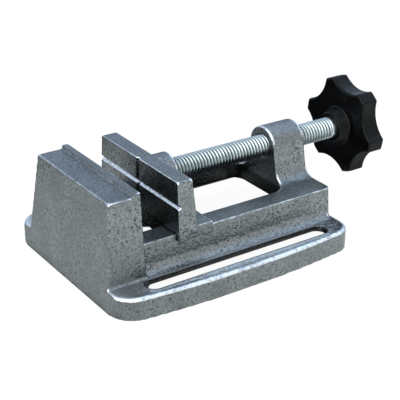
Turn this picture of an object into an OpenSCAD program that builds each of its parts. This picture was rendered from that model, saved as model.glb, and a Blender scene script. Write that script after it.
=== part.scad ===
// Drill press vise, 65 mm jaws
// X runs across the vise, Y runs along the screw towards the knob, Z is up
// The origin lies on the table under the middle of the base casting

/* [Base casting] */
// Length of the base along the screw
base_len = 131.2; // [130:0.2:136]
// Width of the base across the middle of its bowed sides
base_w = 108; // [106:0.5:114]
// Plan radius of the bowed long sides
side_bow_r = 502; // [450:1:600]
// Plan radius of the two corners at the fixed jaw's end
front_corner_r = 13; // [9:0.5:14]
// Plan radius of the two corners at the screw's end
rear_corner_r = 10; // [8:0.5:12]
// Height of the flange's top face above the table
flange_top = 10.8; // [10:0.1:12]
// Radius of the flange's upper edge
flange_edge_r = 1.8; // [0.8:0.1:2.2]
// Thickness of the flange plate inside its skirt
plate_t = 3.15; // [2.8:0.05:4]
// Thickness of the skirt under the flange's edge
skirt_t = 2.5; // [2:0.1:3.2]
// Lean of the end face, in degrees from upright
end_draft = 6; // [4:0.25:7]
// Width of the opening under the flange at the screw's end
rear_arch_w = 96; // [90:0.5:97]

/* [Bolt slots] */
// Width of the bolt slots
slot_w = 8.9; // [7:0.1:9.2]
// Length of the bolt slots, end to end
slot_len = 102; // [90:0.4:103]
// Distance between the centre lines of the two slots
slot_spacing = 85.6; // [85:0.1:86.2]
// Centre of the slots along the screw, from the middle of the base
slot_mid_y = 2.4; // [1:0.2:3]
// Width of the raised rim round a slot
slot_rim_w = 1.8; // [1:0.1:2]
// Height of the raised rim above the flange
slot_rim_h = 0.4; // [0.2:0.05:0.8]

/* [Rails] */
// Height of the rail tops above the table
rail_top = 25; // [24:0.1:26]
// Width of the window between the rails
window_w = 41.2; // [39:0.2:43]
// Width of a rail's top face
rail_w = 11.2; // [10.8:0.1:11.6]
// Lean of a rail's outer side, in degrees
rail_draft = 6; // [3:0.25:7]
// Depth of the rails' inner faces and of the crossbar
bar_depth = 8.9; // [8:0.1:9.6]
// Radius of the fillet at a rail's foot
rail_foot_r = 5; // [3:0.25:5]
// Plan radius of a rail's outer corner at the base's end
rail_corner_r = 3; // [1.5:0.1:4]
// Extra width of the channel on each side at the flange plate
flare_w = 6.5; // [5:0.25:7]
// Height over which the channel widens
flare_h = 4.35; // [3:0.05:5]
// Plan radius of the window's two corners at the crossbar
window_corner_r = 7; // [5:0.25:7.5]

/* [Fixed jaw] */
// Distance from the base's end to the jaw's face, along the table
jaw_foot = 21.5; // [20.5:0.1:24]
// Height of the fixed jaw's top face
jaw_top = 49.4; // [48:0.1:50]
// Width of the fixed jaw's top
jaw_w = 65; // [63:0.2:66]
// Lean of the fixed jaw's sides, in degrees
jaw_draft = 6.3; // [4:0.1:6.6]
// Thickness of the raised strip along the jaw's face
strip_t = 3.6; // [2.5:0.1:5]
// Height of the raised strip
strip_h = 1.6; // [0.8:0.1:2]

/* [Screw lug] */
// Length of the lug and the crossbar along the screw
lug_len = 19; // [17:0.2:20]
// Height of the screw's axis above the table
screw_z = 40.6; // [39.8:0.1:41]
// Radius of the lug's round top
lug_r = 9.8; // [8.5:0.1:10.5]
// Lean of the lug's sides, in degrees
lug_draft = 11.3; // [8:0.1:13]
// Radius of the fillets at the lug's foot
lug_foot_r = 7; // [4:0.25:7.5]

/* [Moving jaw] */
// Opening between the two jaw faces
jaw_gap = 18.45; // [12:0.05:30]
// Height of the moving jaw's top face
moving_top = 51; // [50:0.1:52]
// Width of the moving jaw's top
moving_w = 66.4; // [65:0.2:67]
// Lean of the moving jaw's sides, in degrees
moving_draft = 3.6; // [2:0.1:4]
// Thickness of the moving jaw at its top
moving_top_t = 7.95; // [7.5:0.05:9]
// Thickness of the moving jaw above its foot
moving_foot_t = 9.65; // [9.2:0.05:11]
// Height above which the moving jaw's back leans forward
moving_lean_z = 33; // [31:0.5:35]
// Length of the foot along the rails
foot_len = 18.55; // [18:0.05:19]
// Thickness of the foot above the rails
foot_h = 2.8; // [2.4:0.1:3.6]
// Depth of the side lips below the rail tops
side_lip_h = 2.8; // [2:0.1:3.4]
// Extra depth of the front of the side lips
side_lip_step = 0.6; // [0.2:0.1:1]
// Length of the deeper front part of the side lips
side_lip_front = 5; // [3:0.25:8]
// How far the front part stands proud of the foot's ends
side_lip_proud = 0.5; // [0.2:0.1:0.8]
// Radius of the boss round the screw's end
boss_r = 9.3; // [8.8:0.1:9.7]
// Distance from the jaw's face to the end of the boss
boss_len = 16.55; // [16:0.05:17.5]
// Height of the horizontal groove's centre
groove_z = 39.1; // [38:0.1:42]
// Width of the horizontal groove
groove_w = 2.5; // [1.5:0.1:3.5]
// Depth of the horizontal groove
groove_depth = 1.5; // [0.8:0.1:1.8]
// Width of the upright groove
upright_groove_w = 2.4; // [1.6:0.1:3.2]
// Depth of the upright groove
upright_groove_depth = 1.05; // [0.6:0.05:1.5]
// Length of the tongue between the rails
tongue_len = 15.05; // [14:0.05:15.2]
// Slope cut from the tongue's front lower edge, along the rails
tongue_slope_len = 3.55; // [2.5:0.05:4.5]
// Height of that slope
tongue_slope_h = 3.2; // [2:0.1:4]

/* [Screw] */
// Outside diameter of the thread
thread_d = 11.11; // [10.4:0.01:11.6]
// Advance of the thread in one turn
thread_pitch = 1.814; // [1.6:0.002:2]
// Diameter of the plain end that turns in the moving jaw
journal_d = 8; // [7.4:0.1:8.4]
// Depth of the hole in the moving jaw that takes the plain end
journal_depth = 11; // [10.4:0.1:11.6]
// Distance from the boss's end to the middle of the pins' groove
pin_inset = 4.5; // [4.2:0.1:5]
// Depth of the groove round the plain end
pin_groove_depth = 1.2; // [0.8:0.1:1.4]
// Diameter of the two spring pins
pin_d = 3; // [2.6:0.1:3.2]
// Length of the two spring pins
pin_len = 12; // [10:0.5:13]

/* [Keeper] */
// Thickness of the keeper plate under the rails
keeper_t = 3; // [2.5:0.1:3.6]
// Length of the keeper plate along the rails
keeper_len = 10; // [9:0.25:11]
// Distance from the jaw's face to the keeper plate
keeper_inset = 7; // [6.8:0.1:8]
// Width of the keeper plate
keeper_w = 54; // [50:0.5:56]
// Clearance between each end of the keeper plate and the channel it travels in
keeper_side_gap = 1; // [0.4:0.1:1.6]
// Thread diameter of the keeper screws
keeper_screw_d = 5; // [4:0.1:5.4]
// Distance between the two keeper screws
keeper_screw_spacing = 26; // [22:0.5:30]

/* [Knob] */
// Diameter over the knob's lobes
knob_d = 50; // [47:0.5:54]
// Distance from the knob's hub face to the boss's end
knob_reach = 99.6; // [98.5:0.1:102.5]
// Thickness of the knob's lobes
knob_t = 10; // [9.5:0.1:12]
// Length of the hub in front of the lobes
hub_len = 5.4; // [4.5:0.1:6.5]
// Diameter of the hub at its face
hub_face_d = 16.4; // [15.8:0.1:18]
// Diameter of the hub at the lobes
hub_root_d = 20; // [19:0.2:22]
// Angle of the first lobe, in degrees
lobe_turn = 50; // [0:1:60]
// Radius of the hollows between the lobes
flute_r = 17.4; // [15:0.1:18]
// Depth of the hollows below the lobes
flute_depth = 5; // [3.5:0.1:6]
// Rounding of the knob's edges
knob_edge_r = 1.1; // [0.8:0.1:2]
// Diameter of the bush moulded into the knob
bush_d = 13; // [12.4:0.1:14]
// Thickness of the jam nut
nut_t = 3; // [2.6:0.1:3.2]
// Width of the jam nut across its flats
nut_flats = 13; // [12:0.1:13.4]
// Thickness of the cap's dome above the knob's back
cap_dome = 1.4; // [0.8:0.1:2]

/* [Hidden] */
$fn = 96;
bow_fn = 720;
// Running clearance of turning pieces and clearance of sliding flat faces
run_gap = 0.05;
slide_gap = 0.3;
past = 1;

front_y = -base_len / 2;
rear_y = base_len / 2;
face_y = front_y + jaw_foot;
crossbar_y = rear_y - lug_len;
flange_under = flange_top - plate_t;
bar_under = rail_top - bar_depth;
rail_inner_x = window_w / 2;
rail_outer_x = rail_inner_x + rail_w;

moving_y = face_y + jaw_gap;
boss_y = moving_y + boss_len;
pin_y = boss_y - pin_inset;
pin_x = journal_d / 2 - pin_groove_depth + pin_d / 2 + run_gap;
hub_y = boss_y + knob_reach;
lobe_y = hub_y + hub_len;
knob_back_y = lobe_y + knob_t;
keeper_y = moving_y + keeper_inset;
keeper_top = bar_under - slide_gap;
keeper_screw_y = keeper_y + keeper_len / 2;
channel_w = keeper_w + 2 * keeper_side_gap;

// The screw's shoulder, the bush, the washer and the nut stack up from inside the hub
thread_r = thread_d / 2;
thread_depth = 0.58 * thread_pitch;
shoulder_inset = 1.4;
stub_d = 8;
shoulder_y = hub_y + shoulder_inset;
knob_washer_t = 1;
cap_seat_t = 1.2;
nut_clear = 0.4;
bush_back_y = knob_back_y - cap_seat_t - nut_clear - nut_t - knob_washer_t;
nut_y = bush_back_y + knob_washer_t;
recess_r = 8.7;
cap_r = 9.7;

keeper_washer_t = 1.2;
keeper_head_t = 3.2;
keeper_head_flats = 8;
keeper_screw_len = 14.4;
keeper_hole_gap = 0.25;
keeper_washer_gap = 0.15;
keeper_washer_rim = 0.5;
journal_end_gap = 0.5;
pin_side_gap = 0.1;
washer_hole_gap = 0.2;
washer_rim_gap = 0.4;

// Plan of the flange: half width at the corner centres, and the height where a corner meets the bowed side
function corner_x(r) = sqrt(pow(side_bow_r - r, 2) - pow(base_len / 2 - r, 2)) - side_bow_r + base_w / 2;
function corner_y(r) = base_len / 2 - r;
function tangent_y(r, inset) = corner_y(r) * (side_bow_r - inset) / (side_bow_r - r);
function jaw_half(z) = jaw_w / 2 + (jaw_top - z) * tan(jaw_draft);
function rail_half(z) = rail_outer_x + (rail_top - z) * tan(rail_draft);
function moving_half(z) = moving_w / 2 + (moving_top - z) * tan(moving_draft);

// Turns a profile of radius and height into a solid about the screw's axis, height running along +Y
module about_screw(y) {
    translate([0, y, screw_z])
        rotate([-90, 0, 0])
            rotate_extrude()
                children();
}

// Stands a profile of X and Z upright and gives it a length along +Y
module along_screw(y, length) {
    translate([0, y + length, 0])
        rotate([90, 0, 0])
            linear_extrude(length)
                children();
}

// Stands a profile of Y and Z upright and centres its width on X
module across(width) {
    translate([-width / 2, 0, 0])
        rotate([90, 0, 90])
            linear_extrude(width)
                children();
}

// Half section of a disc with a rounded upper rim
module disc_section(r, h, edge) {
    square([r - edge, h]);
    square([r, h - edge]);
    translate([r - edge, h - edge])
        circle(r = edge);
}

// Plan of the base, drawn in from its outer edge by a wall
module base_plan(inset) {
    low = tangent_y(front_corner_r, inset);
    high = tangent_y(rear_corner_r, inset);
    intersection() {
        translate([base_w / 2 - side_bow_r, 0])
            circle(r = side_bow_r - inset, $fn = bow_fn);
        translate([side_bow_r - base_w / 2, 0])
            circle(r = side_bow_r - inset, $fn = bow_fn);
        translate([-base_w, -low])
            square([2 * base_w, low + high]);
    }
    end_plan(front_corner_r, -1, inset);
    end_plan(rear_corner_r, 1, inset);
}

// One end of that plan: a straight edge between two corner arcs
module end_plan(r, way, inset) {
    cx = corner_x(r);
    start = way > 0 ? 0 : inset - base_len / 2;
    translate([-cx, start])
        square([2 * cx, base_len / 2 - inset]);
    for (side = [-1, 1])
        translate([side * cx, way * corner_y(r)])
            circle(r = r - inset);
}

// The flange as a solid block with its upper edge rounded all round
module flange_block() {
    low = tangent_y(front_corner_r, 0);
    high = tangent_y(rear_corner_r, 0);
    intersection() {
        translate([base_w / 2 - side_bow_r, 0, 0])
            rotate_extrude($fn = bow_fn)
                disc_section(side_bow_r, flange_top, flange_edge_r);
        translate([side_bow_r - base_w / 2, 0, 0])
            rotate_extrude($fn = bow_fn)
                disc_section(side_bow_r, flange_top, flange_edge_r);
        translate([-base_w, -low, 0])
            cube([2 * base_w, low + high, flange_top]);
    }
    flange_end(front_corner_r, -1);
    flange_end(rear_corner_r, 1);
}

module flange_end(r, way) {
    cx = corner_x(r);
    rotate([0, 0, way > 0 ? 0 : 180])
        across(2 * cx)
            disc_section(base_len / 2, flange_top, flange_edge_r);
    for (side = [-1, 1])
        translate([side * cx, way * corner_y(r), 0])
            rotate_extrude()
                disc_section(r, flange_top, flange_edge_r);
}

// Plan of one bolt slot, or of the rim round it
module slot_plan(grow) {
    r = slot_w / 2 + grow;
    run = slot_len / 2 - slot_w / 2;
    translate([-r, -run])
        square([2 * r, 2 * run]);
    for (way = [-1, 1])
        translate([0, way * run])
            circle(r = r);
}

// Everything below the flange plate that is hollow, seen in plan
module under_plan() {
    base_plan(skirt_t);
    translate([-rear_arch_w / 2, 0])
        square([rear_arch_w, base_len / 2 + past]);
}

// Section of the channel under the rails
module channel_section() {
    x0 = channel_w / 2;
    x1 = x0 + flare_w;
    polygon([[-x1, -past], [-x1, flange_under], [-x0, flange_under + flare_h], [-x0, bar_under],
        [x0, bar_under], [x0, flange_under + flare_h], [x1, flange_under], [x1, -past]]);
}

// Plan of the window, round at its two corners by the crossbar
module window_plan() {
    r = window_corner_r;
    translate([-rail_inner_x, face_y])
        square([window_w, crossbar_y - face_y - r]);
    translate([r - rail_inner_x, face_y])
        square([window_w - 2 * r, crossbar_y - face_y]);
    for (side = [-1, 1])
        translate([side * (rail_inner_x - r), crossbar_y - r])
            circle(r = r);
}

// Section of one rail from the middle outwards, with the fillet at its foot
module rail_section() {
    r = rail_foot_r;
    cz = flange_top + r;
    cx = rail_half(cz) + r / cos(rail_draft);
    tx = cx - r * cos(rail_draft);
    tz = cz - r * sin(rail_draft);
    difference() {
        polygon([[0, flange_under], [cx, flange_under], [cx, flange_top], [tx, tz],
            [rail_outer_x, rail_top], [0, rail_top]]);
        translate([cx, cz])
            circle(r = r);
    }
}

// One rail, its outer corner at the base's end rounded along the leaning side
module rail_half_block() {
    r = rail_corner_r;
    along_screw(face_y - past, rear_y - r - face_y + past)
        rail_section();
    intersection() {
        translate([0, rear_y - r - past, flange_under])
            cube([base_w, r + past, rail_top - flange_under]);
        translate([rail_outer_x, rear_y, rail_top])
            rotate([0, -rail_draft, 0])
                translate([0, 0, -2 * rail_top])
                    linear_extrude(4 * rail_top) {
                        translate([-base_w, -3 * r])
                            square([base_w - r, 3 * r]);
                        translate([-base_w, -3 * r])
                            square([base_w, 2 * r]);
                        translate([-r, -r])
                            circle(r = r);
                    }
    }
}

// Section of the fixed jaw across the vise
module jaw_section() {
    foot = jaw_half(0);
    top = jaw_w / 2;
    polygon([[-foot, 0], [-top, jaw_top], [top, jaw_top], [foot, 0]]);
}

// Section of the lug across the vise: round top, leaning sides and a fillet to the crossbar
module lug_section() {
    r = lug_foot_r;
    c = cos(lug_draft);
    s = sin(lug_draft);
    cz = rail_top + r;
    cx = lug_r + (r + (screw_z - cz) * s) / c;
    translate([0, screw_z])
        circle(r = lug_r);
    difference() {
        polygon([[-cx, bar_under], [-cx, rail_top], [r * c - cx, cz - r * s],
            [-lug_r, screw_z], [lug_r, screw_z],
            [cx - r * c, cz - r * s], [cx, rail_top], [cx, bar_under]]);
        for (side = [-1, 1])
            translate([side * cx, cz])
                circle(r = r);
    }
}

// The one casting: flange, skirt, rails, crossbar, fixed jaw and lug
module body_casting() {
    color([0.52, 0.54, 0.54])
    difference() {
        union() {
            difference() {
                union() {
                    flange_block();
                    rail_half_block();
                    mirror([1, 0, 0])
                        rail_half_block();
                }
                translate([0, 0, -past])
                    linear_extrude(flange_under + past)
                        under_plan();
                along_screw(face_y, rear_y - face_y + past)
                    channel_section();
                translate([0, 0, -past])
                    linear_extrude(rail_top + 2 * past)
                        window_plan();
            }
            along_screw(front_y, jaw_foot)
                jaw_section();
            translate([-jaw_w / 2, face_y - strip_t, jaw_top - past])
                cube([jaw_w, strip_t, strip_h + past]);
            along_screw(crossbar_y, lug_len)
                lug_section();
            for (side = [-1, 1])
                translate([side * slot_spacing / 2, slot_mid_y, flange_top - plate_t / 2])
                    linear_extrude(plate_t / 2 + slot_rim_h)
                        slot_plan(slot_rim_w);
        }
        for (side = [-1, 1])
            translate([side * slot_spacing / 2, slot_mid_y, flange_under - past])
                linear_extrude(plate_t + slot_rim_h + 2 * past)
                    slot_plan(0);
        translate([0, front_y, 0])
            rotate([-end_draft, 0, 0])
                translate([-base_w, -base_w, -base_w])
                    cube([2 * base_w, base_w, 2 * base_w]);
        about_screw(crossbar_y - past)
            square([thread_r + run_gap, lug_len + 2 * past]);
    }
}

// Side view of the moving jaw's upright plate
module moving_side() {
    polygon([[0, rail_top + run_gap], [0, moving_top], [moving_top_t, moving_top],
        [moving_foot_t, moving_lean_z], [moving_foot_t, rail_top + run_gap]]);
}

// Across view of the moving jaw's upright plate
module moving_section() {
    low = rail_top + run_gap;
    top = moving_w / 2;
    polygon([[-moving_half(low), low], [-top, moving_top], [top, moving_top], [moving_half(low), low]]);
}

// Lip that hangs outside one rail, its front part deeper and proud of the rest
module side_lip() {
    inner = rail_half(rail_top - side_lip_h - side_lip_step) + slide_gap;
    outer = moving_half(rail_top + run_gap);
    deep = side_lip_h + side_lip_step;
    top = rail_top + foot_h;
    translate([inner, moving_y, rail_top - side_lip_h])
        cube([outer - side_lip_proud - inner, foot_len, side_lip_h + foot_h]);
    translate([inner, moving_y, rail_top - deep])
        cube([outer - inner, side_lip_front, top - rail_top + deep]);
}

// Side view of the tongue between the rails, its front lower edge sloped
module tongue_side() {
    polygon([[0, keeper_top + tongue_slope_h], [0, rail_top + foot_h], [tongue_len, rail_top + foot_h],
        [tongue_len, keeper_top], [tongue_slope_len, keeper_top]]);
}

// The moving jaw with its foot, tongue, lips, boss and two face grooves
module moving_jaw() {
    foot_half = moving_half(rail_top + run_gap) - side_lip_proud;
    tongue_w = window_w - 2 * slide_gap;
    depth = journal_depth;
    pin_reach = pin_len / 2;
    color([0.5, 0.52, 0.52])
    difference() {
        union() {
            intersection() {
                translate([0, moving_y, 0])
                    across(2 * base_w)
                        moving_side();
                along_screw(moving_y, moving_foot_t)
                    moving_section();
            }
            translate([-foot_half, moving_y, rail_top + run_gap])
                cube([2 * foot_half, foot_len, foot_h - run_gap]);
            side_lip();
            mirror([1, 0, 0])
                side_lip();
            translate([0, moving_y, 0])
                across(tongue_w)
                    tongue_side();
            about_screw(moving_y + past)
                square([boss_r, boss_len - past]);
            translate([-boss_r, moving_y + past, rail_top + past])
                cube([2 * boss_r, boss_len - past, screw_z - rail_top - past]);
        }
        // Grooves in the face
        translate([0, moving_y, groove_z])
            across(2 * base_w)
                polygon([[-past, -groove_w / 2 * (1 + past / groove_depth)], [groove_depth, 0],
                    [-past, groove_w / 2 * (1 + past / groove_depth)]]);
        translate([0, moving_y, keeper_top - past])
            linear_extrude(moving_top - keeper_top + 2 * past)
                polygon([[-upright_groove_w / 2 * (1 + past / upright_groove_depth), -past],
                    [0, upright_groove_depth],
                    [upright_groove_w / 2 * (1 + past / upright_groove_depth), -past]]);
        // Hole for the screw's plain end, and the two holes for the pins from below
        about_screw(boss_y - depth)
            square([journal_d / 2 + run_gap, depth + past]);
        for (side = [-1, 1])
            translate([side * pin_x, pin_y, keeper_top - past])
                cylinder(d = pin_d, h = screw_z + pin_reach - keeper_top + past);
        // Tapped holes for the keeper screws
        for (side = [-1, 1])
            translate([side * keeper_screw_spacing / 2, keeper_screw_y, keeper_top - past])
                cylinder(d = keeper_screw_d + 2 * run_gap, h = keeper_screw_len - keeper_t + past);
    }
}

// Two rolled spring pins that straddle the groove in the screw's end
module jaw_pins() {
    wall = 0.2 * pin_d;
    slit = 0.2 * pin_d;
    color([0.45, 0.45, 0.46])
    for (side = [-1, 1])
        translate([side * pin_x, pin_y, screw_z - pin_len / 2])
            difference() {
                cylinder(d = pin_d, h = pin_len);
                translate([0, 0, -past])
                    cylinder(d = pin_d - 2 * wall, h = pin_len + 2 * past);
                translate([-slit / 2, 0, -past])
                    cube([slit, pin_d, pin_len + 2 * past]);
            }
}

// Flat bar screwed under the tongue that hooks the moving jaw down to the rails
module keeper_plate() {
    color([0.4, 0.41, 0.42])
    difference() {
        translate([-keeper_w / 2, keeper_y, keeper_top - keeper_t])
            cube([keeper_w, keeper_len, keeper_t]);
        for (side = [-1, 1])
            translate([side * keeper_screw_spacing / 2, keeper_screw_y, keeper_top - keeper_t - past])
                cylinder(d = keeper_screw_d + 2 * keeper_hole_gap, h = keeper_t + 2 * past);
    }
}

// Two hexagon head screws from below
module keeper_screws() {
    head_z = keeper_top - keeper_t - keeper_washer_t;
    color([0.7, 0.71, 0.72])
    for (side = [-1, 1])
        translate([side * keeper_screw_spacing / 2, keeper_screw_y, 0]) {
            translate([0, 0, head_z - keeper_head_t])
                cylinder(r = keeper_head_flats / 2 / cos(30), h = keeper_head_t, $fn = 6);
            translate([0, 0, head_z - past])
                cylinder(d = keeper_screw_d, h = keeper_screw_len + past);
        }
}

// Two split lock washers under the screw heads
module keeper_lock_washers() {
    slit = 0.8;
    washer_d = keeper_head_flats + 2 * keeper_washer_rim;
    color([0.6, 0.61, 0.62])
    for (side = [-1, 1])
        translate([side * keeper_screw_spacing / 2, keeper_screw_y, keeper_top - keeper_t - keeper_washer_t])
            difference() {
                cylinder(d = washer_d, h = keeper_washer_t);
                translate([0, 0, -past])
                    cylinder(d = keeper_screw_d + 2 * keeper_washer_gap, h = keeper_washer_t + 2 * past);
                translate([0, -slit / 2, -past])
                    cube([washer_d, slit, keeper_washer_t + 2 * past]);
            }
}

// Half section of the screw, from its plain end to the stub that holds the knob
module screw_section() {
    j = journal_d / 2;
    root = thread_r - thread_depth;
    end = boss_y - journal_depth + journal_end_gap;
    chamfer = 0.6;
    groove = pin_d / 2 + pin_side_gap;
    start = boss_y + run_gap;
    stop = hub_y - thread_pitch;
    turns = floor((stop - start) / thread_pitch);
    ridges = [for (i = [0 : turns - 1]) each [[root, start + i * thread_pitch],
        [thread_r, start + (i + 0.5) * thread_pitch]]];
    stub_end = nut_y + nut_t;
    polygon(concat([[0, end], [j - chamfer, end], [j, end + chamfer],
        [j, pin_y - groove], [j - pin_groove_depth, pin_y - groove],
        [j - pin_groove_depth, pin_y + groove], [j, pin_y + groove], [j, start]],
        ridges,
        [[root, start + turns * thread_pitch], [thread_r, start + (turns + 0.5) * thread_pitch],
        [thread_r, shoulder_y], [stub_d / 2, shoulder_y],
        [stub_d / 2, stub_end - chamfer], [stub_d / 2 - chamfer, stub_end], [0, stub_end]]));
}

// The screw: a plain grooved end, the long thread and a stub for the knob
module lead_screw() {
    color([0.72, 0.74, 0.74])
        about_screw(0)
            screw_section();
}

// Half section of the knob's blank: hub and lobe disc with rounded edges
module knob_section() {
    e = knob_edge_r;
    r = knob_d / 2;
    hub_edge = 1.2;
    difference() {
        union() {
            translate([0, lobe_y])
                square([r - e, knob_t]);
            translate([0, lobe_y + e])
                square([r, knob_t - 2 * e]);
            for (y = [lobe_y + e, knob_back_y - e])
                translate([r - e, y])
                    circle(r = e);
            polygon([[0, hub_y + hub_edge], [hub_face_d / 2, hub_y + hub_edge],
                [hub_root_d / 2, lobe_y + past], [0, lobe_y + past]]);
            translate([0, hub_y])
                square([hub_face_d / 2 - hub_edge, hub_edge]);
            translate([hub_face_d / 2 - hub_edge, hub_y + hub_edge])
                circle(r = hub_edge);
        }
        translate([0, hub_y - past])
            square([thread_r + run_gap, shoulder_inset + past]);
        translate([0, shoulder_y])
            square([bush_d / 2, bush_back_y - shoulder_y]);
        translate([0, bush_back_y])
            square([recess_r, knob_t]);
        translate([0, knob_back_y - cap_seat_t])
            square([cap_r, knob_t]);
    }
}

// Half section of the cutter that hollows the knob between two lobes and rounds the hollow's edges
module flute_section() {
    e = knob_edge_r;
    difference() {
        translate([0, -past])
            square([flute_r + e, knob_t + 2 * past]);
        translate([flute_r, e])
            square([2 * e, knob_t - 2 * e]);
        for (y = [e, knob_t - e])
            translate([flute_r + e, y])
                circle(r = e);
    }
}

// Moulded star knob with six lobes
module star_knob() {
    reach = knob_d / 2 - flute_depth + flute_r;
    color([0.05, 0.05, 0.05])
    difference() {
        about_screw(0)
            knob_section();
        for (angle = [lobe_turn + 30 : 60 : lobe_turn + 330])
            translate([reach * cos(angle), lobe_y, screw_z + reach * sin(angle)])
                rotate([-90, 0, 0])
                    rotate_extrude()
                        flute_section();
    }
}

// Metal bush moulded into the knob, clamped between the screw's shoulder and the nut
module knob_bush() {
    color([0.75, 0.62, 0.32])
        about_screw(shoulder_y)
            translate([stub_d / 2 + run_gap, 0])
                square([bush_d / 2 - stub_d / 2 - run_gap, bush_back_y - shoulder_y]);
}

// Plain washer between the bush and the nut
module knob_washer() {
    color([0.66, 0.67, 0.68])
        about_screw(bush_back_y)
            translate([stub_d / 2 + washer_hole_gap, 0])
                square([recess_r - washer_rim_gap - stub_d / 2 - washer_hole_gap, knob_washer_t]);
}

// Jam nut in the knob's back
module knob_nut() {
    color([0.62, 0.63, 0.64])
    translate([0, nut_y + nut_t, screw_z])
        rotate([90, 0, 0])
            difference() {
                cylinder(r = nut_flats / 2 / cos(30), h = nut_t, $fn = 6);
                translate([0, 0, -past])
                    cylinder(r = stub_d / 2 + run_gap, h = nut_t + 2 * past);
            }
}

// Domed cap that closes the knob's back
module knob_cap() {
    seat_r = cap_r - run_gap;
    dome_r = (seat_r * seat_r + cap_dome * cap_dome) / (2 * cap_dome);
    color([0.07, 0.07, 0.07])
        about_screw(knob_back_y) {
            translate([0, -cap_seat_t])
                square([seat_r, cap_seat_t]);
            intersection() {
                translate([0, cap_dome - dome_r])
                    circle(r = dome_r, $fn = bow_fn);
                square([seat_r, cap_dome]);
            }
        }
}

body_casting();
moving_jaw();
jaw_pins();
keeper_plate();
keeper_screws();
keeper_lock_washers();
lead_screw();
star_knob();
knob_bush();
knob_washer();
knob_nut();
knob_cap();
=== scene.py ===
import math

import bmesh
import bpy
import numpy as np
from mathutils import Matrix, Vector


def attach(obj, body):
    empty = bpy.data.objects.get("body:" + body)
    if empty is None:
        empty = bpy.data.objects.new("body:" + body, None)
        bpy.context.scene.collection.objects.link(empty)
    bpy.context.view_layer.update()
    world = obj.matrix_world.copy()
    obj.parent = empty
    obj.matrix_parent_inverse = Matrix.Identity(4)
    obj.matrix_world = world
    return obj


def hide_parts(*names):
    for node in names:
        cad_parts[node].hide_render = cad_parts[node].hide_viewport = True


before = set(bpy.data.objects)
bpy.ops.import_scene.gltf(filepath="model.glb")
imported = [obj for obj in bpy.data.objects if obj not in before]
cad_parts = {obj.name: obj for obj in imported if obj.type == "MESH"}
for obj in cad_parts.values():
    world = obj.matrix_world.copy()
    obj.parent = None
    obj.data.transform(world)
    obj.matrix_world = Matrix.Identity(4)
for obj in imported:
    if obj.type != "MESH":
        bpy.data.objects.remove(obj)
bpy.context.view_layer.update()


# Base casting
# The flange with its two bolt slots, the rails, the fixed jaw and the screw's lug are one grey iron
# casting. It is moulded in sand, so every edge is slightly round, and painted with hammered enamel.

# Sizes are in millimetres up to the stage, and MM turns them into metres
MM = 0.001
BASE_LEN = 131.2
BASE_W = 108.0
FRONT_Y = -BASE_LEN / 2
REAR_Y = BASE_LEN / 2
BOW_R = 502.0
FRONT_CORNER_R = 13.0
REAR_CORNER_R = 10.0
FLANGE_TOP = 10.8
FLANGE_UNDER = 7.65
FLANGE_EDGE_R = 1.8
SKIRT_T = 2.5
END_DRAFT = math.radians(6.0)
REAR_ARCH_W = 96.0
FIXED_JAW_T = 21.5
FACE_Y = FRONT_Y + FIXED_JAW_T
JAW_TOP = 49.4
JAW_TOP_HALF = 32.5
JAW_DRAFT = math.radians(6.3)
STRIP_T = 3.6
STRIP_TOP = 51.0
RAIL_TOP = 25.0
RAIL_INNER_X = 20.6
RAIL_OUTER_X = 31.8
RAIL_DRAFT = math.radians(6.0)
RAIL_FOOT_R = 5.0
RAIL_CORNER_R = 3.0
CROSSBAR_T = 19.0
CROSSBAR_Y = REAR_Y - CROSSBAR_T
BAR_UNDER = 16.1
CHANNEL_X = 28.0
FLARE_X = 34.5
FLARE_Z = 12.0
WINDOW_CORNER_R = 7.0
SLOT_X = 42.8
SLOT_MID_Y = 2.4
SLOT_LEN = 102.0
SLOT_W = 8.9
SLOT_RUN = SLOT_LEN / 2 - SLOT_W / 2
RIM_W = 1.8
RIM_H = 0.4
RIM_STEP = 0.5
RIM_ROOT = 1.5
RIM_CEILING = 0.6
SCREW_Z = 40.6
LUG_R = 9.8
LUG_DRAFT = math.radians(11.3)
LUG_FOOT_R = 7.0
LUG_BORE_R = 5.605
ARC_STEPS = 12
BOW_STEPS = 24
EDGE_STEPS = 6
LUG_STEPS = 16
TURN_STEPS = 96
WELD = 1e-7
TINY = 1e-9
# How far a cut runs past the metal, how much further a second cut or a joined solid reaches, and
# how far apart the faces of two cuts are kept
PAST = 2.0
FURTHER = 1.0
APART = 0.01
END_CUT_TOP = 60.0
END_CUT_OUT = 20.0


def arc(cx, cy, r, start, end, steps=ARC_STEPS):
    """Points on an arc, angles in radians."""
    return [(cx + r * math.cos(start + (end - start) * i / steps),
             cy + r * math.sin(start + (end - start) * i / steps)) for i in range(steps + 1)]


def rectangle(a0, a1, b0, b1):
    """Four corners of a plain section."""
    return [(a0, b0), (a1, b0), (a1, b1), (a0, b1)]


def both_halves(half):
    """Completes an outline with its mirror image on the other side of the vise."""
    return half + [(-x, other) for x, other in half[::-1]]


def loft(solids, rings):
    """Adds a closed solid through rings that hold the same number of points, in millimetres."""
    bm = bmesh.new()
    loops = [[bm.verts.new([c * MM for c in point]) for point in ring] for ring in rings]
    for low, high in zip(loops, loops[1:]):
        for i, corner in enumerate(low):
            j = (i + 1) % len(low)
            bm.faces.new((corner, low[j], high[j], high[i]))
    bm.faces.new(loops[0][::-1])
    bm.faces.new(loops[-1])
    solids.append(bm)


def along_screw(solids, section, y0, y1):
    """Runs a section of (x, z) points along the vise."""
    loft(solids, [[(x, y, z) for x, z in section] for y in (y0, y1)])


def across(solids, side, x0, x1):
    """Runs a side view of (y, z) points across the vise."""
    loft(solids, [[(x, y, z) for y, z in side] for x in (x0, x1)])


def upright(solids, plan, z0, z1):
    """Runs a plan of (x, y) points upwards."""
    loft(solids, [[(x, y, z) for x, y in plan] for z in (z0, z1)])


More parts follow.
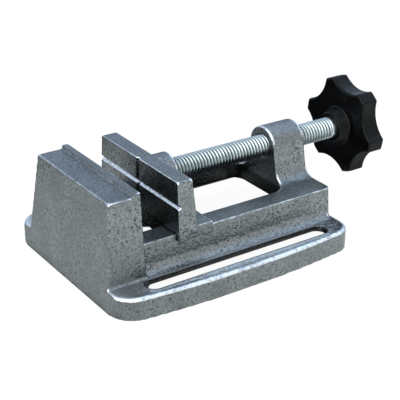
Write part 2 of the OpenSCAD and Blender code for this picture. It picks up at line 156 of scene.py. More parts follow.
def turned(solids, centre_x, centre_z, profile, steps=TURN_STEPS):
    """Turns a closed profile of (radius, y) points about an axis along the vise."""
    bm = bmesh.new()
    loops = []
    for k in range(steps):
        a = 2 * math.pi * k / steps
        points = [(centre_x + r * math.sin(a), y, centre_z + r * math.cos(a)) for r, y in profile]
        loops.append([bm.verts.new([c * MM for c in point]) for point in points])
    for k, loop in enumerate(loops):
        following = loops[(k + 1) % steps]
        for i, corner in enumerate(loop):
            j = (i + 1) % len(loop)
            bm.faces.new((corner, loop[j], following[j], following[i]))
    solids.append(bm)


def carve(name, adds, cuts, voxel, rounding, keep):
    """Joins the first solids and cuts the others away, then rounds every edge as a mould does.

    The skin is remade in voxels of the given size, smoothed as often as rounding says, and thinned
    to the share of faces that keep gives.
    """
    made = []
    for bm in adds + cuts:
        bmesh.ops.remove_doubles(bm, verts=bm.verts, dist=WELD)
        loose = [edge for edge in bm.edges if not edge.link_faces]
        bmesh.ops.delete(bm, geom=loose, context="EDGES")
        bmesh.ops.recalc_face_normals(bm, faces=bm.faces)
        mesh = bpy.data.meshes.new(name)
        bm.to_mesh(mesh)
        bm.free()
        made.append(bpy.data.objects.new(name, mesh))
        bpy.context.scene.collection.objects.link(made[-1])
    piece, others = made[0], made[1:]
    for i, other in enumerate(others):
        step = piece.modifiers.new("step", "BOOLEAN")
        step.operation = "UNION" if i + 1 < len(adds) else "DIFFERENCE"
        step.solver = "EXACT"
        step.object = other
    skin = piece.modifiers.new("skin", "REMESH")
    skin.mode = "VOXEL"
    skin.voxel_size = voxel * MM
    soften = piece.modifiers.new("soften", "SMOOTH")
    soften.factor = 0.5
    soften.iterations = rounding
    thin = piece.modifiers.new("thin", "DECIMATE")
    thin.ratio = keep
    graph = bpy.context.evaluated_depsgraph_get()
    piece.data = bpy.data.meshes.new_from_object(piece.evaluated_get(graph))
    piece.data.name = name
    piece.modifiers.clear()
    for other in others:
        bpy.data.objects.remove(other)
    piece.data.shade_smooth()
    return piece


def base_plan(inset):
    """Outline of the flange: bowed long sides and four round corners."""
    points = []
    for way, r in ((1, REAR_CORNER_R), (-1, FRONT_CORNER_R)):
        cy = BASE_LEN / 2 - r
        cx = math.sqrt((BOW_R - r) ** 2 - cy ** 2) - BOW_R + BASE_W / 2
        corner = arc(cx, cy, r - inset, math.asin(cy / (BOW_R - r)), math.pi / 2)
        points.append([(x, way * y) for x, y in both_halves(corner)])
    rear, front = points
    low, high = front[0][1], rear[0][1]

    def side(y):
        return BASE_W / 2 - BOW_R + math.sqrt((BOW_R - inset) ** 2 - y ** 2)

    left = [(-side(y), y) for y in np.linspace(high, low, BOW_STEPS)[1:-1]]
    right = [(side(y), y) for y in np.linspace(low, high, BOW_STEPS)[1:-1]]
    return right + rear + left + front[::-1]


def slot_plan(side):
    """Outline of one bolt slot, its ends half rounds."""
    r = SLOT_W / 2
    ends = arc(0, SLOT_RUN, r, 0, math.pi) + arc(0, -SLOT_RUN, r, math.pi, 2 * math.pi)
    return [(side * SLOT_X + x, SLOT_MID_Y + y) for x, y in ends]


def rail_half(z):
    """Half the width over both rails, which their draft widens downwards."""
    return RAIL_OUTER_X + (RAIL_TOP - z) * math.tan(RAIL_DRAFT)


def rail_section():
    """Both rails as one bar, with the fillets at their feet."""
    r = RAIL_FOOT_R
    cz = FLANGE_TOP + r
    cx = rail_half(cz) + r / math.cos(RAIL_DRAFT)
    foot = arc(cx, cz, r, 1.5 * math.pi, math.pi + RAIL_DRAFT)
    return both_halves([(cx, FLANGE_UNDER)] + foot + [(RAIL_OUTER_X, RAIL_TOP)])


def rail_end(solids):
    """The last stretch of the rails, its two outer corners round."""
    r = RAIL_CORNER_R
    rings = []
    for z in (FLANGE_UNDER, RAIL_TOP):
        half = rail_half(z)
        corner = arc(half - r, REAR_Y - r, r, 0, math.pi / 2)
        plan = both_halves([(half, REAR_Y - r - FURTHER)] + corner)
        rings.append([(x, y, z) for x, y in plan])
    loft(solids, rings)


def lug_section():
    """The lug: round over the screw, with drafted sides that run into the crossbar."""
    r = LUG_FOOT_R
    cz = RAIL_TOP + r
    c, s = math.cos(LUG_DRAFT), math.sin(LUG_DRAFT)
    cx = LUG_R + (r + (SCREW_Z - cz) * s) / c
    foot = arc(cx, cz, r, 1.5 * math.pi, math.pi + LUG_DRAFT)
    top = arc(0, SCREW_Z, LUG_R, 0, math.pi / 2, LUG_STEPS)
    right = [(cx, BAR_UNDER + FURTHER)] + foot + top
    return right + [(-x, z) for x, z in right[-2::-1]]


adds, cuts = [], []
edge_arc = arc(0, 0, FLANGE_EDGE_R, 0, math.pi / 2, EDGE_STEPS)
levels = [(0.0, 0.0)]
levels += [(FLANGE_EDGE_R - x, FLANGE_TOP - FLANGE_EDGE_R + z) for x, z in edge_arc]
loft(adds, [[(x, y, z) for x, y in base_plan(inset)] for inset, z in levels])
along_screw(adds, rail_section(), FACE_Y - PAST, REAR_Y - RAIL_CORNER_R)
rail_end(adds)
jaw_foot_half = JAW_TOP_HALF + JAW_TOP * math.tan(JAW_DRAFT)
along_screw(adds, [(-jaw_foot_half, 0), (jaw_foot_half, 0),
                   (JAW_TOP_HALF, JAW_TOP), (-JAW_TOP_HALF, JAW_TOP)], FRONT_Y, FACE_Y)
along_screw(adds, rectangle(-JAW_TOP_HALF, JAW_TOP_HALF, JAW_TOP - PAST, STRIP_TOP),
            FACE_Y - STRIP_T, FACE_Y)
along_screw(adds, lug_section(), CROSSBAR_Y, REAR_Y)

# The hollow under the flange stops at the jaw, which is solid, and is open at the screw's end
hollow = [(x, y) for x, y in base_plan(SKIRT_T) if y > FACE_Y]
hollow_x = hollow[0][0]
upright(cuts, [(hollow_x, FACE_Y)] + hollow + [(-hollow_x, FACE_Y)], -PAST, FLANGE_UNDER)
upright(cuts, rectangle(-REAR_ARCH_W / 2, REAR_ARCH_W / 2, 0, REAR_Y + PAST),
        -PAST - FURTHER, FLANGE_UNDER - APART)
channel = [(FLARE_X, -PAST), (FLARE_X, FLANGE_UNDER - 2 * APART), (CHANNEL_X, FLARE_Z),
           (CHANNEL_X, BAR_UNDER)]
along_screw(cuts, both_halves(channel), FACE_Y, REAR_Y + PAST + FURTHER)
window_corner = arc(RAIL_INNER_X - WINDOW_CORNER_R, CROSSBAR_Y - WINDOW_CORNER_R,
                    WINDOW_CORNER_R, 0, math.pi / 2)
upright(cuts, both_halves([(RAIL_INNER_X, FACE_Y)] + window_corner),
        -PAST - 2 * FURTHER, RAIL_TOP + PAST)
for side in (-1, 1):
    upright(cuts, slot_plan(side), 0, FLANGE_TOP + PAST)
turned(cuts, 0, SCREW_Z, rectangle(0.0, LUG_BORE_R, CROSSBAR_Y - PAST, REAR_Y + PAST))
lean = math.tan(END_DRAFT)
across(cuts, [(FRONT_Y - PAST * lean, -PAST), (FRONT_Y + END_CUT_TOP * lean, END_CUT_TOP),
              (FRONT_Y - END_CUT_OUT, END_CUT_TOP), (FRONT_Y - END_CUT_OUT, -PAST)],
       -BASE_W, BASE_W)
casting = carve("base_casting", adds, cuts, voxel=0.5, rounding=3, keep=0.4)

# Where the edge wear with its painted highlight, the painted shade in the recesses and the painted
# light on the flange lie, in millimetres from the edge or face they start at
ON_TOP = 1.0
NO_HIGHLIGHT_ROUND_SLOT = 0.8
NO_HIGHLIGHT_ON_STEP = 1.2
UPPER_START = 2.0
UPPER_HIGHLIGHT_SHARE = 0.5
RECESS_SHADE_FADE = 0.4
RECESS_SHADE_RAIL_FADE = 0.8
RECESS_SHADE_START = 1.0
FLANGE_LIGHT_FROM_SLOT = 0.5
FLANGE_LIGHT_TILT = (0.90, 0.98)
FLANGE_LIGHT_REAR = 0.45
FLANGE_LIGHT_FRONT_Y = (-56.0, -62.0)
LIT_EDGE_TILT = (0.25, 0.5)


def read_points(mesh, field="co"):
    """Places or normals of a mesh's points, in rows of three."""
    values = np.empty(len(mesh.vertices) * 3)
    mesh.vertices.foreach_get(field, values)
    return values.reshape(-1, 3)


def read_mask(mesh, name):
    """One stored number for each point."""
    values = np.empty(len(mesh.vertices), dtype=np.float32)
    mesh.attributes[name].data.foreach_get("value", values)
    return values


def store_mask(mesh, name, values):
    """Stores one number for each point, which a material reads by this name."""
    store = mesh.attributes.get(name) or mesh.attributes.new(name, "FLOAT", "POINT")
    store.data.foreach_set("value", values.astype(np.float32))


def slope(value, zero, one):
    """Runs from 0 to 1 between two values and stays level beyond them."""
    return np.clip((value - zero) / (one - zero), 0, 1)


def slot_distance(co):
    """How far each point lies from the middle line of its slot, in plan."""
    along = np.clip(co[:, 1] - SLOT_MID_Y, -SLOT_RUN, SLOT_RUN)
    return np.hypot(np.abs(co[:, 0]) - SLOT_X, co[:, 1] - SLOT_MID_Y - along)


def raise_slot_rims(piece):
    """Lifts the narrow rim along each slot, softly stepped and fading out on the rail's side."""
    mesh = piece.data
    co = read_points(mesh) / MM
    outer = SLOT_W / 2 + RIM_W
    inner_x = SLOT_X - SLOT_W / 2
    step = slope(slot_distance(co), outer + RIM_STEP / 2, outer - RIM_STEP / 2)
    step *= slope(np.abs(co[:, 0]), inner_x - RIM_STEP, inner_x + 2 * RIM_STEP)
    top = slope(co[:, 2], FLANGE_TOP - RIM_ROOT, FLANGE_TOP)
    flat = co[:, 2] < FLANGE_TOP + RIM_CEILING
    lift = RIM_H * step * step * (3 - 2 * step) * top * flat
    # Nothing reaches below the table
    co[:, 2] = np.maximum(co[:, 2] + lift, 0.0)
    mesh.vertices.foreach_set("co", (co * MM).ravel())
    mesh.update()


def mark_edges(piece):
    """Stores how sharply the skin turns outwards where it looks up, for edge wear and a painted
    highlight.
    """
    mesh = piece.data
    co, normal = read_points(mesh), read_points(mesh, "normal")
    count = len(co)
    pairs = np.empty(len(mesh.edges) * 2, dtype=np.int64)
    mesh.edges.foreach_get("vertices", pairs)
    first, second = pairs.reshape(-1, 2).T
    span = np.maximum(np.linalg.norm(co[first] - co[second], axis=1), TINY)
    turn = np.einsum("ij,ij->i", normal[first] - normal[second], co[first] - co[second])
    turn = turn / span ** 2
    total, weight = np.zeros(count), np.zeros(count)
    for end in (first, second):
        np.add.at(total, end, turn * span)
        np.add.at(weight, end, span)
    bend = total / np.maximum(weight, TINY) * MM
    total, weight = bend.copy(), np.ones(count)
    for end, other in ((first, second), (second, first)):
        np.add.at(total, end, bend[other])
        np.add.at(weight, end, 1.0)
    store_mask(mesh, "edge_wear_highlight", total / weight * slope(normal[:, 2], *LIT_EDGE_TILT))


def trim_edge_highlight(piece):
    """Takes the edge wear and its painted highlight off round the slots and the fixed jaw's step,
    and halves it higher up.
    """
    mesh = piece.data
    co = read_points(mesh) / MM
    turn = read_mask(mesh, "edge_wear_highlight")
    round_slot = slot_distance(co) < SLOT_W / 2 + RIM_W + NO_HIGHLIGHT_ROUND_SLOT
    on_flange = co[:, 2] < FLANGE_TOP + ON_TOP
    near_step = np.abs(co[:, 1] - FACE_Y + STRIP_T) < NO_HIGHLIGHT_ON_STEP
    on_jaw_top = co[:, 2] > JAW_TOP - ON_TOP
    turn[(round_slot & on_flange) | (near_step & on_jaw_top)] = 0.0
    turn[co[:, 2] > FLANGE_TOP + UPPER_START] *= UPPER_HIGHLIGHT_SHARE
    store_mask(mesh, "edge_wear_highlight", turn)


def paint_recess_shade(piece):
    """Stores a painted shade on the walls of the slots and of the window."""
    mesh = piece.data
    co = read_points(mesh) / MM
    wall = SLOT_W / 2 + RECESS_SHADE_FADE / 2
    slots = slope(slot_distance(co), wall + RECESS_SHADE_FADE, wall)
    slots *= co[:, 2] < FLANGE_TOP + ON_TOP
    inside = np.abs(co[:, 0]) < RAIL_INNER_X + RECESS_SHADE_FADE
    inside &= (co[:, 1] < CROSSBAR_Y + RECESS_SHADE_FADE) & (co[:, 1] > FACE_Y + RECESS_SHADE_START)
    below = slope(co[:, 2], RAIL_TOP - RECESS_SHADE_RAIL_FADE, RAIL_TOP - 2 * RECESS_SHADE_RAIL_FADE)
    store_mask(mesh, "recess_shade", np.maximum(slots, below * inside))


def paint_flange_light(piece):
    """Stores a painted light on the flange's level top, strongest at its front end."""
    mesh = piece.data
    co = read_points(mesh) / MM
    level = slope(read_points(mesh, "normal")[:, 2], *FLANGE_LIGHT_TILT)
    level *= co[:, 2] < FLANGE_TOP + ON_TOP
    level *= slot_distance(co) > SLOT_W / 2 + FLANGE_LIGHT_FROM_SLOT
    level *= FLANGE_LIGHT_REAR + (1 - FLANGE_LIGHT_REAR) * slope(co[:, 1], *FLANGE_LIGHT_FRONT_Y)
    store_mask(mesh, "flange_top_light", level)


raise_slot_rims(casting)
mark_edges(casting)
trim_edge_highlight(casting)
paint_recess_shade(casting)
paint_flange_light(casting)

PAINT_GREY = (0.238, 0.252, 0.254)
PAINT_CLOUDS = (0.88, 1.10)
PAINT_PIT = (0.082, 0.092, 0.097)
# Near-white of the worn edges and of the painted highlights
WEAR_AND_HIGHLIGHT_GREY = (0.90, 0.93, 0.97)
FLECK_DARK = (0.80, 0.80, 0.81)
FLECK_LIGHT = (1.2, 1.2, 1.21)
# Dark grey of the painted shade in the slots and the window
RECESS_SHADE = (0.085, 0.088, 0.09)
# Share of the painted light on the flange's top
FLANGE_LIGHT_SHARE = 0.6
# How strongly painted shade darkens the pits on tops and ends, and on the long sides
PIT_SHADE_ON_TOP, PIT_SHADE_ON_SIDE = 0.75, 1.15
PIT_RISE, GRAIN_RISE, CREASE_RISE = -0.8, 0.7, 0.9
PAINT_ROUGH, PIT_ROUGH = 0.28, 0.36
HAMMER_DEPTH = 0.0005
PER_METRE = 1000.0


def new_group(name, inputs, outputs):
    """A shader node group with named sockets, its input and output nodes already placed."""
    group = bpy.data.node_groups.new(name, "ShaderNodeTree")
    for label, kind, value in inputs:
        made = group.interface.new_socket(label, in_out="INPUT", socket_type=kind)
        if value is not None:
            made.default_value = value
    for label, kind in outputs:
        group.interface.new_socket(label, in_out="OUTPUT", socket_type=kind)
    return group, group.nodes.new("NodeGroupInput"), group.nodes.new("NodeGroupOutput")


def node(tree, kind, links=None, **settings):
    """Adds one node, sets its properties or input values, and links its inputs."""
    made = tree.nodes.new(kind)
    for key, value in settings.items():
        if hasattr(made, key):
            setattr(made, key, value)
        else:
            made.inputs[key.replace("_", " ")].default_value = value
    for key, source in (links or {}).items():
        tree.links.new(source, made.inputs[key])
    return made


def feed(tree, socket, value):
    """Sets a number or a colour on a socket, or links what another node gives."""
    if isinstance(value, (int, float)):
        socket.default_value = value
    elif isinstance(value, tuple):
        socket.default_value = (*value, 1.0)
    else:
        tree.links.new(value, socket)


def math_node(tree, operation, *values, clamp=False):
    """One sum on numbers or on other nodes' outputs."""
    made = node(tree, "ShaderNodeMath", operation=operation, use_clamp=clamp)
    for socket, value in zip(made.inputs, values):
        feed(tree, socket, value)
    return made.outputs[0]


def ramp(tree, value, low, high, out_low=0.0, out_high=1.0):
    """Turns the range from low to high softly into another one."""
    made = node(tree, "ShaderNodeMapRange", interpolation_type="SMOOTHSTEP")
    for key, number in (("Value", value), ("From Min", low), ("From Max", high),
                        ("To Min", out_low), ("To Max", out_high)):
        feed(tree, made.inputs[key], number)
    return made.outputs["Result"]


def blend(tree, mode, factor, a, b):
    """Mixes or multiplies two colours."""
    made = node(tree, "ShaderNodeMix", data_type="RGBA", blend_type=mode)
    for key, kind, value in (("Factor", "VALUE", factor), ("A", "RGBA", a), ("B", "RGBA", b)):
        socket = [s for s in made.inputs if s.name == key and s.type == kind][0]
        feed(tree, socket, value)
    return [s for s in made.outputs if s.type == "RGBA"][0]


def hammer_group():
    """Hammered enamel: creases and shallow pits that the flake paint pulls into while it dries."""
    group, entry, leave = new_group(
        "hammered_enamel",
        [("Vector", "NodeSocketVector", None), ("Pit Size mm", "NodeSocketFloat", 2.2)],
        [("Height", "NodeSocketFloat"), ("Pits", "NodeSocketFloat"),
         ("Clouds", "NodeSocketFloat"), ("Grain", "NodeSocketFloat")])
    place = entry.outputs["Vector"]
    scale = math_node(group, "DIVIDE", PER_METRE, entry.outputs["Pit Size mm"])

    def noise(fineness, **settings):
        """Noise so many times finer than the pits."""
        finer = math_node(group, "MULTIPLY", scale, fineness)
        made = node(group, "ShaderNodeTexNoise", {"Vector": place, "Scale": finer}, **settings)
        return made.outputs["Fac"]

    crease = noise(0.8, Detail=1.5, Distortion=0.6)
    patches = noise(1.5, noise_dimensions="4D", Detail=1.0, W=3.0)
    clouds = noise(0.14, Detail=2.0)
    grain = noise(2.6, Detail=2.0)
    off_crease = math_node(group, "ABSOLUTE", math_node(group, "SUBTRACT", crease, 0.5))
    creases = math_node(group, "MULTIPLY", ramp(group, off_crease, 0.0, 0.05, 1.0, 0.0),
                        ramp(group, patches, 0.47, 0.58))
    cells = node(group, "ShaderNodeTexVoronoi", {"Vector": place, "Scale": scale}, feature="F1")
    near_middle = ramp(group, cells.outputs["Distance"], 0.12, 0.42, 1.0, 0.0)
    dots = math_node(group, "MULTIPLY", near_middle, ramp(group, patches, 0.40, 0.56, 0.9, 0.0))
    pits = math_node(group, "MULTIPLY", math_node(group, "MAXIMUM", creases, dots),
                     ramp(group, clouds, 0.34, 0.60, 0.35, 1.0))
    sunk = math_node(group, "MULTIPLY", pits, PIT_RISE)
    height = math_node(group, "MULTIPLY_ADD", grain, GRAIN_RISE, sunk)
    height = math_node(group, "MULTIPLY_ADD", crease, CREASE_RISE, height)
    for label, value in (("Height", height), ("Pits", pits), ("Clouds", clouds), ("Grain", grain)):
        group.links.new(value, leave.inputs[label])
    return group


def edge_group():
    """Edge wear and painted highlight: the paint is thin and rubbed bright, with a highlight
    painted on, where the skin turns sharply outwards.
    """
    group, entry, leave = new_group(
        "edge_wear_and_highlight",
        [("Turn", "NodeSocketFloat", 0.0), ("Vector", "NodeSocketVector", None),
         ("Start", "NodeSocketFloat", 0.1), ("Full", "NodeSocketFloat", 0.5)],
        [("Wear And Highlight", "NodeSocketFloat")])
    given = entry.outputs
    patches = node(group, "ShaderNodeTexNoise", {"Vector": given["Vector"]},
                   Scale=420.0, Detail=3.0)
    wear_and_light = ramp(group, given["Turn"], given["Start"], given["Full"])
    patchy = ramp(group, patches.outputs["Fac"], 0.30, 0.55, 0.45, 1.0)
    group.links.new(math_node(group, "MULTIPLY", wear_and_light, patchy), leave.inputs["Wear And Highlight"])
    return group


HAMMER = hammer_group()
EDGE_WEAR_HIGHLIGHT = edge_group()


def new_material(name):
    """A material with its shader and the object's own coordinates."""
    material = bpy.data.materials.new(name)
    material.use_nodes = True
    tree = material.node_tree
    place = tree.nodes.new("ShaderNodeTexCoord").outputs["Object"]
    return material, tree, tree.nodes["Principled BSDF"], place


def place_group(tree, group, links, **values):
    """Places a shared effect in a material, with this material's own values."""
    return node(tree, "ShaderNodeGroup", links, node_tree=group, **values).outputs


def stored(tree, name):
    """Reads a number that the mesh stores for each point."""
    return node(tree, "ShaderNodeAttribute", attribute_name=name).outputs["Fac"]


def roughen(tree, shader, height, strength, depth):
    """Gives the surface its fine relief, depth in metres."""
    bump = node(tree, "ShaderNodeBump", {"Height": height}, Strength=strength, Distance=depth)
    tree.links.new(bump.outputs["Normal"], shader.inputs["Normal"])


def hammered_paint(name, pit_size, edge_start, edge_full):
    """Metal-flake enamel: clouds, flecks, dark pits with painted shade strongest on the sides, worn
    edges with a painted highlight.
    """
    material, tree, shader, place = new_material(name)
    hammer = place_group(tree, HAMMER, {"Vector": place}, Pit_Size_mm=pit_size)
    wear_and_light = place_group(tree, EDGE_WEAR_HIGHLIGHT, {"Turn": stored(tree, "edge_wear_highlight"), "Vector": place},
                      Start=edge_start, Full=edge_full)
    dull, bright = [tuple(c * share for c in PAINT_GREY) for share in PAINT_CLOUDS]
    ground = blend(tree, "MIX", ramp(tree, hammer["Clouds"], 0.3, 0.7), dull, bright)
    fleck = blend(tree, "MIX", ramp(tree, hammer["Grain"], 0.34, 0.66), FLECK_DARK, FLECK_LIGHT)
    ground = blend(tree, "MULTIPLY", 1.0, ground, fleck)
    normal = tree.nodes.new("ShaderNodeTexCoord").outputs["Normal"]
    sideways = node(tree, "ShaderNodeSeparateXYZ", {0: normal}).outputs["X"]
    # Painted shade: the pits are darkened more on faces that look along x, the long sides, than on
    # tops and ends
    deep = ramp(tree, math_node(tree, "ABSOLUTE", sideways), 0.3, 0.8, PIT_SHADE_ON_TOP, PIT_SHADE_ON_SIDE)
    pits = math_node(tree, "MULTIPLY", hammer["Pits"], deep, clamp=True)
    ground = blend(tree, "MIX", pits, ground, PAINT_PIT)
    # Edge wear with a painted highlight on the upper edges
    ground = blend(tree, "MIX", wear_and_light["Wear And Highlight"], ground, WEAR_AND_HIGHLIGHT_GREY)
    tree.links.new(ground, shader.inputs["Base Color"])
    tree.links.new(ramp(tree, hammer["Pits"], 0.0, 1.0, PAINT_ROUGH, PIT_ROUGH),
                   shader.inputs["Roughness"])
    shader.inputs["Metallic"].default_value = 1.0
    shader.inputs["Specular IOR Level"].default_value = 0.3
    roughen(tree, shader, hammer["Height"], 0.4, HAMMER_DEPTH)
    return material


def age_casting(material):
    """Paints shade on the walls of the slots and the window, and paints light on the flange's top.
    """
    tree = material.node_tree
    colour = tree.nodes["Principled BSDF"].inputs["Base Color"]
    clean = colour.links[0].from_socket
    wear_and_light = math_node(tree, "MULTIPLY", stored(tree, "flange_top_light"), FLANGE_LIGHT_SHARE)
    flange_lit = blend(tree, "MIX", wear_and_light, clean, WEAR_AND_HIGHLIGHT_GREY)
    tree.links.new(blend(tree, "MIX", stored(tree, "recess_shade"), flange_lit, RECESS_SHADE), colour)


CASTING_PAINT = hammered_paint("casting_hammered_enamel",
                               pit_size=2.2, edge_start=0.05, edge_full=0.17)
age_casting(CASTING_PAINT)
casting.data.materials.append(CASTING_PAINT)
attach(casting, "base")
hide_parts("body_casting")


# Moving jaw
# A second casting with the same paint. Its foot lies on the rails, two lips hang outside them, a
# tongue fills the window between them, and a boss behind takes the end of the screw.
MOVING_Y = FACE_Y + 18.45
MOVING_TOP = 51.0
MOVING_TOP_HALF = 33.2
MOVING_DRAFT = math.radians(3.6)
MOVING_TOP_T = 7.95
MOVING_FOOT_T = 9.65
MOVING_LEAN_Z = 33.0
TOP_CORNER_R = 1.1
TOP_CORNER_STEPS = 4
SLIDE_GAP = 0.3
RUN_GAP = 0.05
FOOT_LEN = 18.55
FOOT_UNDER = RAIL_TOP + RUN_GAP
FOOT_TOP = RAIL_TOP + 2.8
FOOT_REAR_Y = MOVING_Y + FOOT_LEN
# The chamfers of the foot, lips and tongue keep the two rounded castings clear of each other where
# the jaw's travel ends
FOOT_CHAMFER = 0.8
TOE_Y = MOVING_Y + 0.35
LIP_DEPTH = 2.8
LIP_STEP = 0.6
LIP_FRONT = 5.0
LIP_PROUD = 0.5
BOSS_R = 9.3
BOSS_Y = MOVING_Y + 16.55
TONGUE_HALF = RAIL_INNER_X - SLIDE_GAP
TONGUE_UNDER = BAR_UNDER - SLIDE_GAP
TONGUE_NOSE = 3.55
TONGUE_NOSE_RISE = 3.2
TONGUE_Y = MOVING_Y + 15.05
TONGUE_END = 0.85
TONGUE_END_NARROWER = 0.7
PIN_X = 4.35
PIN_Y = BOSS_Y - 4.5
PIN_R = 1.5
PIN_HOLE_TOP = 46.6
KEEPER_SCREW_X = 13.0
KEEPER_SCREW_Y = MOVING_Y + 12.0
KEEPER_HOLE_R = 2.55
KEEPER_HOLE_TOP = 27.2
HOLE_SIDES = 24
GROOVE_Z = 39.1
GROOVE_W = 2.5
GROOVE_DEPTH = 1.5
GROOVE_EDGE = 0.12
GROOVE_MIDDLE = 0.1
# How strong the painted highlight on the groove's lower side is
GROOVE_HIGHLIGHT = 0.6
UPRIGHT_GROOVE_W = 2.4
UPRIGHT_GROOVE_DEPTH = 1.05
JOURNAL_R = 4.0
JOURNAL_DEPTH = 11.0


def moving_half(z):
    """Half the width of the moving jaw, which its draft widens downwards."""
    return MOVING_TOP_HALF + (MOVING_TOP - z) * math.tan(MOVING_DRAFT)


def paint_groove_highlight(piece):
    """Paints a highlight on the lower side of the long groove."""
    mesh = piece.data
    co = read_points(mesh) / MM
    turn = read_mask(mesh, "edge_wear_highlight")
    inside = (co[:, 1] > MOVING_Y + GROOVE_EDGE) & (co[:, 1] < MOVING_Y + GROOVE_DEPTH)
    lower = (co[:, 2] > GROOVE_Z - GROOVE_W / 2) & (co[:, 2] < GROOVE_Z - GROOVE_MIDDLE)
    turn[inside & lower] = GROOVE_HIGHLIGHT
    store_mask(mesh, "edge_wear_highlight", turn)


adds, cuts = [], []
levels = [(z, moving_half(z)) for z in (FOOT_UNDER, FOOT_UNDER + FOOT_CHAMFER, MOVING_LEAN_Z)]
for step in range(TOP_CORNER_STEPS + 1):
    turn = math.pi / 2 * step / TOP_CORNER_STEPS
    z = MOVING_TOP - TOP_CORNER_R * (1 - math.sin(turn))
    levels.append((z, moving_half(z) - TOP_CORNER_R * (1 - math.cos(turn))))
rings = []
for z, half in levels:
    lean = max(0.0, (z - MOVING_LEAN_Z) / (MOVING_TOP - MOVING_LEAN_Z))
    back = MOVING_Y + MOVING_FOOT_T + (MOVING_TOP_T - MOVING_FOOT_T) * lean
    front = MOVING_Y + FOOT_CHAMFER if z == FOOT_UNDER else MOVING_Y
    rings.append([(-half, front, z), (half, front, z), (half, back, z), (-half, back, z)])
loft(adds, rings)
foot_half = moving_half(FOOT_UNDER) - LIP_PROUD
across(adds, rectangle(MOVING_Y + FOOT_CHAMFER, FOOT_REAR_Y, FOOT_UNDER, FOOT_TOP),
       -foot_half, foot_half)
lip_under = RAIL_TOP - LIP_DEPTH
lip_inner = rail_half(lip_under - LIP_STEP) + SLIDE_GAP
lip_outer = moving_half(FOOT_UNDER)
for side in (-1, 1):
    across(adds, rectangle(TOE_Y, FOOT_REAR_Y, lip_under, FOOT_TOP),
           *sorted((side * lip_inner, side * (lip_outer - LIP_PROUD))))
    across(adds, rectangle(TOE_Y, MOVING_Y + LIP_FRONT, lip_under - LIP_STEP, FOOT_TOP),
           *sorted((side * lip_inner, side * lip_outer)))
for end, half in ((TONGUE_Y - TONGUE_END, TONGUE_HALF),
                  (TONGUE_Y, TONGUE_HALF - TONGUE_END_NARROWER)):
    across(adds, [(TOE_Y, TONGUE_UNDER + TONGUE_NOSE_RISE), (MOVING_Y + TONGUE_NOSE, TONGUE_UNDER),
                  (end, TONGUE_UNDER), (end, FOOT_TOP), (TOE_Y, FOOT_TOP)], -half, half)
inside_jaw = MOVING_Y + FURTHER
turned(adds, 0, SCREW_Z, rectangle(0.0, BOSS_R, inside_jaw, BOSS_Y))
across(adds, rectangle(inside_jaw, BOSS_Y, RAIL_TOP + FURTHER, SCREW_Z), -BOSS_R, BOSS_R)
reach = 1 + PAST / GROOVE_DEPTH
across(cuts, [(MOVING_Y - PAST, GROOVE_Z - GROOVE_W / 2 * reach),
              (MOVING_Y + GROOVE_DEPTH, GROOVE_Z),
              (MOVING_Y - PAST, GROOVE_Z + GROOVE_W / 2 * reach)], -BASE_W / 2, BASE_W / 2)
reach = 1 + PAST / UPRIGHT_GROOVE_DEPTH
upright(cuts, [(-UPRIGHT_GROOVE_W / 2 * reach, MOVING_Y - PAST),
               (UPRIGHT_GROOVE_W / 2 * reach, MOVING_Y - PAST),
               (0, MOVING_Y + UPRIGHT_GROOVE_DEPTH)], TONGUE_UNDER - PAST, MOVING_TOP + PAST)
nearly_round = 2 * math.pi * (HOLE_SIDES - 1) / HOLE_SIDES
for side in (-1, 1):
    for x, y, r, top in ((PIN_X, PIN_Y, PIN_R, PIN_HOLE_TOP),
                         (KEEPER_SCREW_X, KEEPER_SCREW_Y, KEEPER_HOLE_R, KEEPER_HOLE_TOP)):
        upright(cuts, arc(side * x, y, r, 0, nearly_round, HOLE_SIDES - 1),
                TONGUE_UNDER - PAST, top)
turned(cuts, 0, SCREW_Z,
       rectangle(0.0, JOURNAL_R + RUN_GAP, BOSS_Y - JOURNAL_DEPTH, BOSS_Y + PAST))
jaw = carve("moving_jaw_casting", adds, cuts, voxel=0.36, rounding=2, keep=0.45)
mark_edges(jaw)
paint_groove_highlight(jaw)
JAW_PAINT = hammered_paint("jaw_hammered_enamel", pit_size=2.4, edge_start=0.12, edge_full=0.5)
jaw.data.materials.append(JAW_PAINT)
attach(jaw, "jaw")
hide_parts("moving_jaw")


# Screw
# A steel screw with a rolled right-hand thread and bright zinc plating. Its plain end turns in the
# moving jaw, held by two pins in a groove, and the stub behind its shoulder carries the knob.
THREAD_R = 5.555
ROOT_R = 4.48
PITCH = 1.814
THREAD_START = BOSS_Y + RUN_GAP
THREAD_END = 89.0
CREST_SHARE = 0.12
FLANK_SHARE = 0.76
FLANK_SWELL = 0.12
CUT_IN_TURNS = 0.5
END_CHAMFER = 0.6
JOURNAL_END_Y = BOSS_Y - JOURNAL_DEPTH + 0.5
PIN_GROOVE = 1.6
PIN_GROOVE_R = JOURNAL_R - 1.2
SHOULDER_Y = 91.9
STUB_END = 104.3
ROUND_STEPS = 48
PROFILE_STEPS = 10
SHARP_ANGLE = math.radians(60)
SEAM_WELD = 2e-6
SLIVER = 1e-6
ZINC = (0.66, 0.73, 0.74)
ZINC_SHADE = (0.54, 0.61, 0.62)
# Dark grey of the painted shade in the thread's roots
ROOT_SHADE = (0.05, 0.055, 0.055)
SCRATCH_SIZE = 0.5


def thread_radius(phase):
    """Rounded 60 degree thread: short flat crest, round root."""
    height = abs(2 * (phase % 1.0) - 1)
    rise = min(1.0, max(0.0, (height - CREST_SHARE) / FLANK_SHARE))
    return ROOT_R + (THREAD_R - ROOT_R) * (rise + FLANK_SWELL * rise * (1 - rise))


def round_point(bm, r, y, j):
    """A point on the screw's skin, j of ROUND_STEPS round its axis."""
    a = 2 * math.pi * j / ROUND_STEPS
    return bm.verts.new((r * math.sin(a) * MM, y * MM, (SCREW_Z + r * math.cos(a)) * MM))


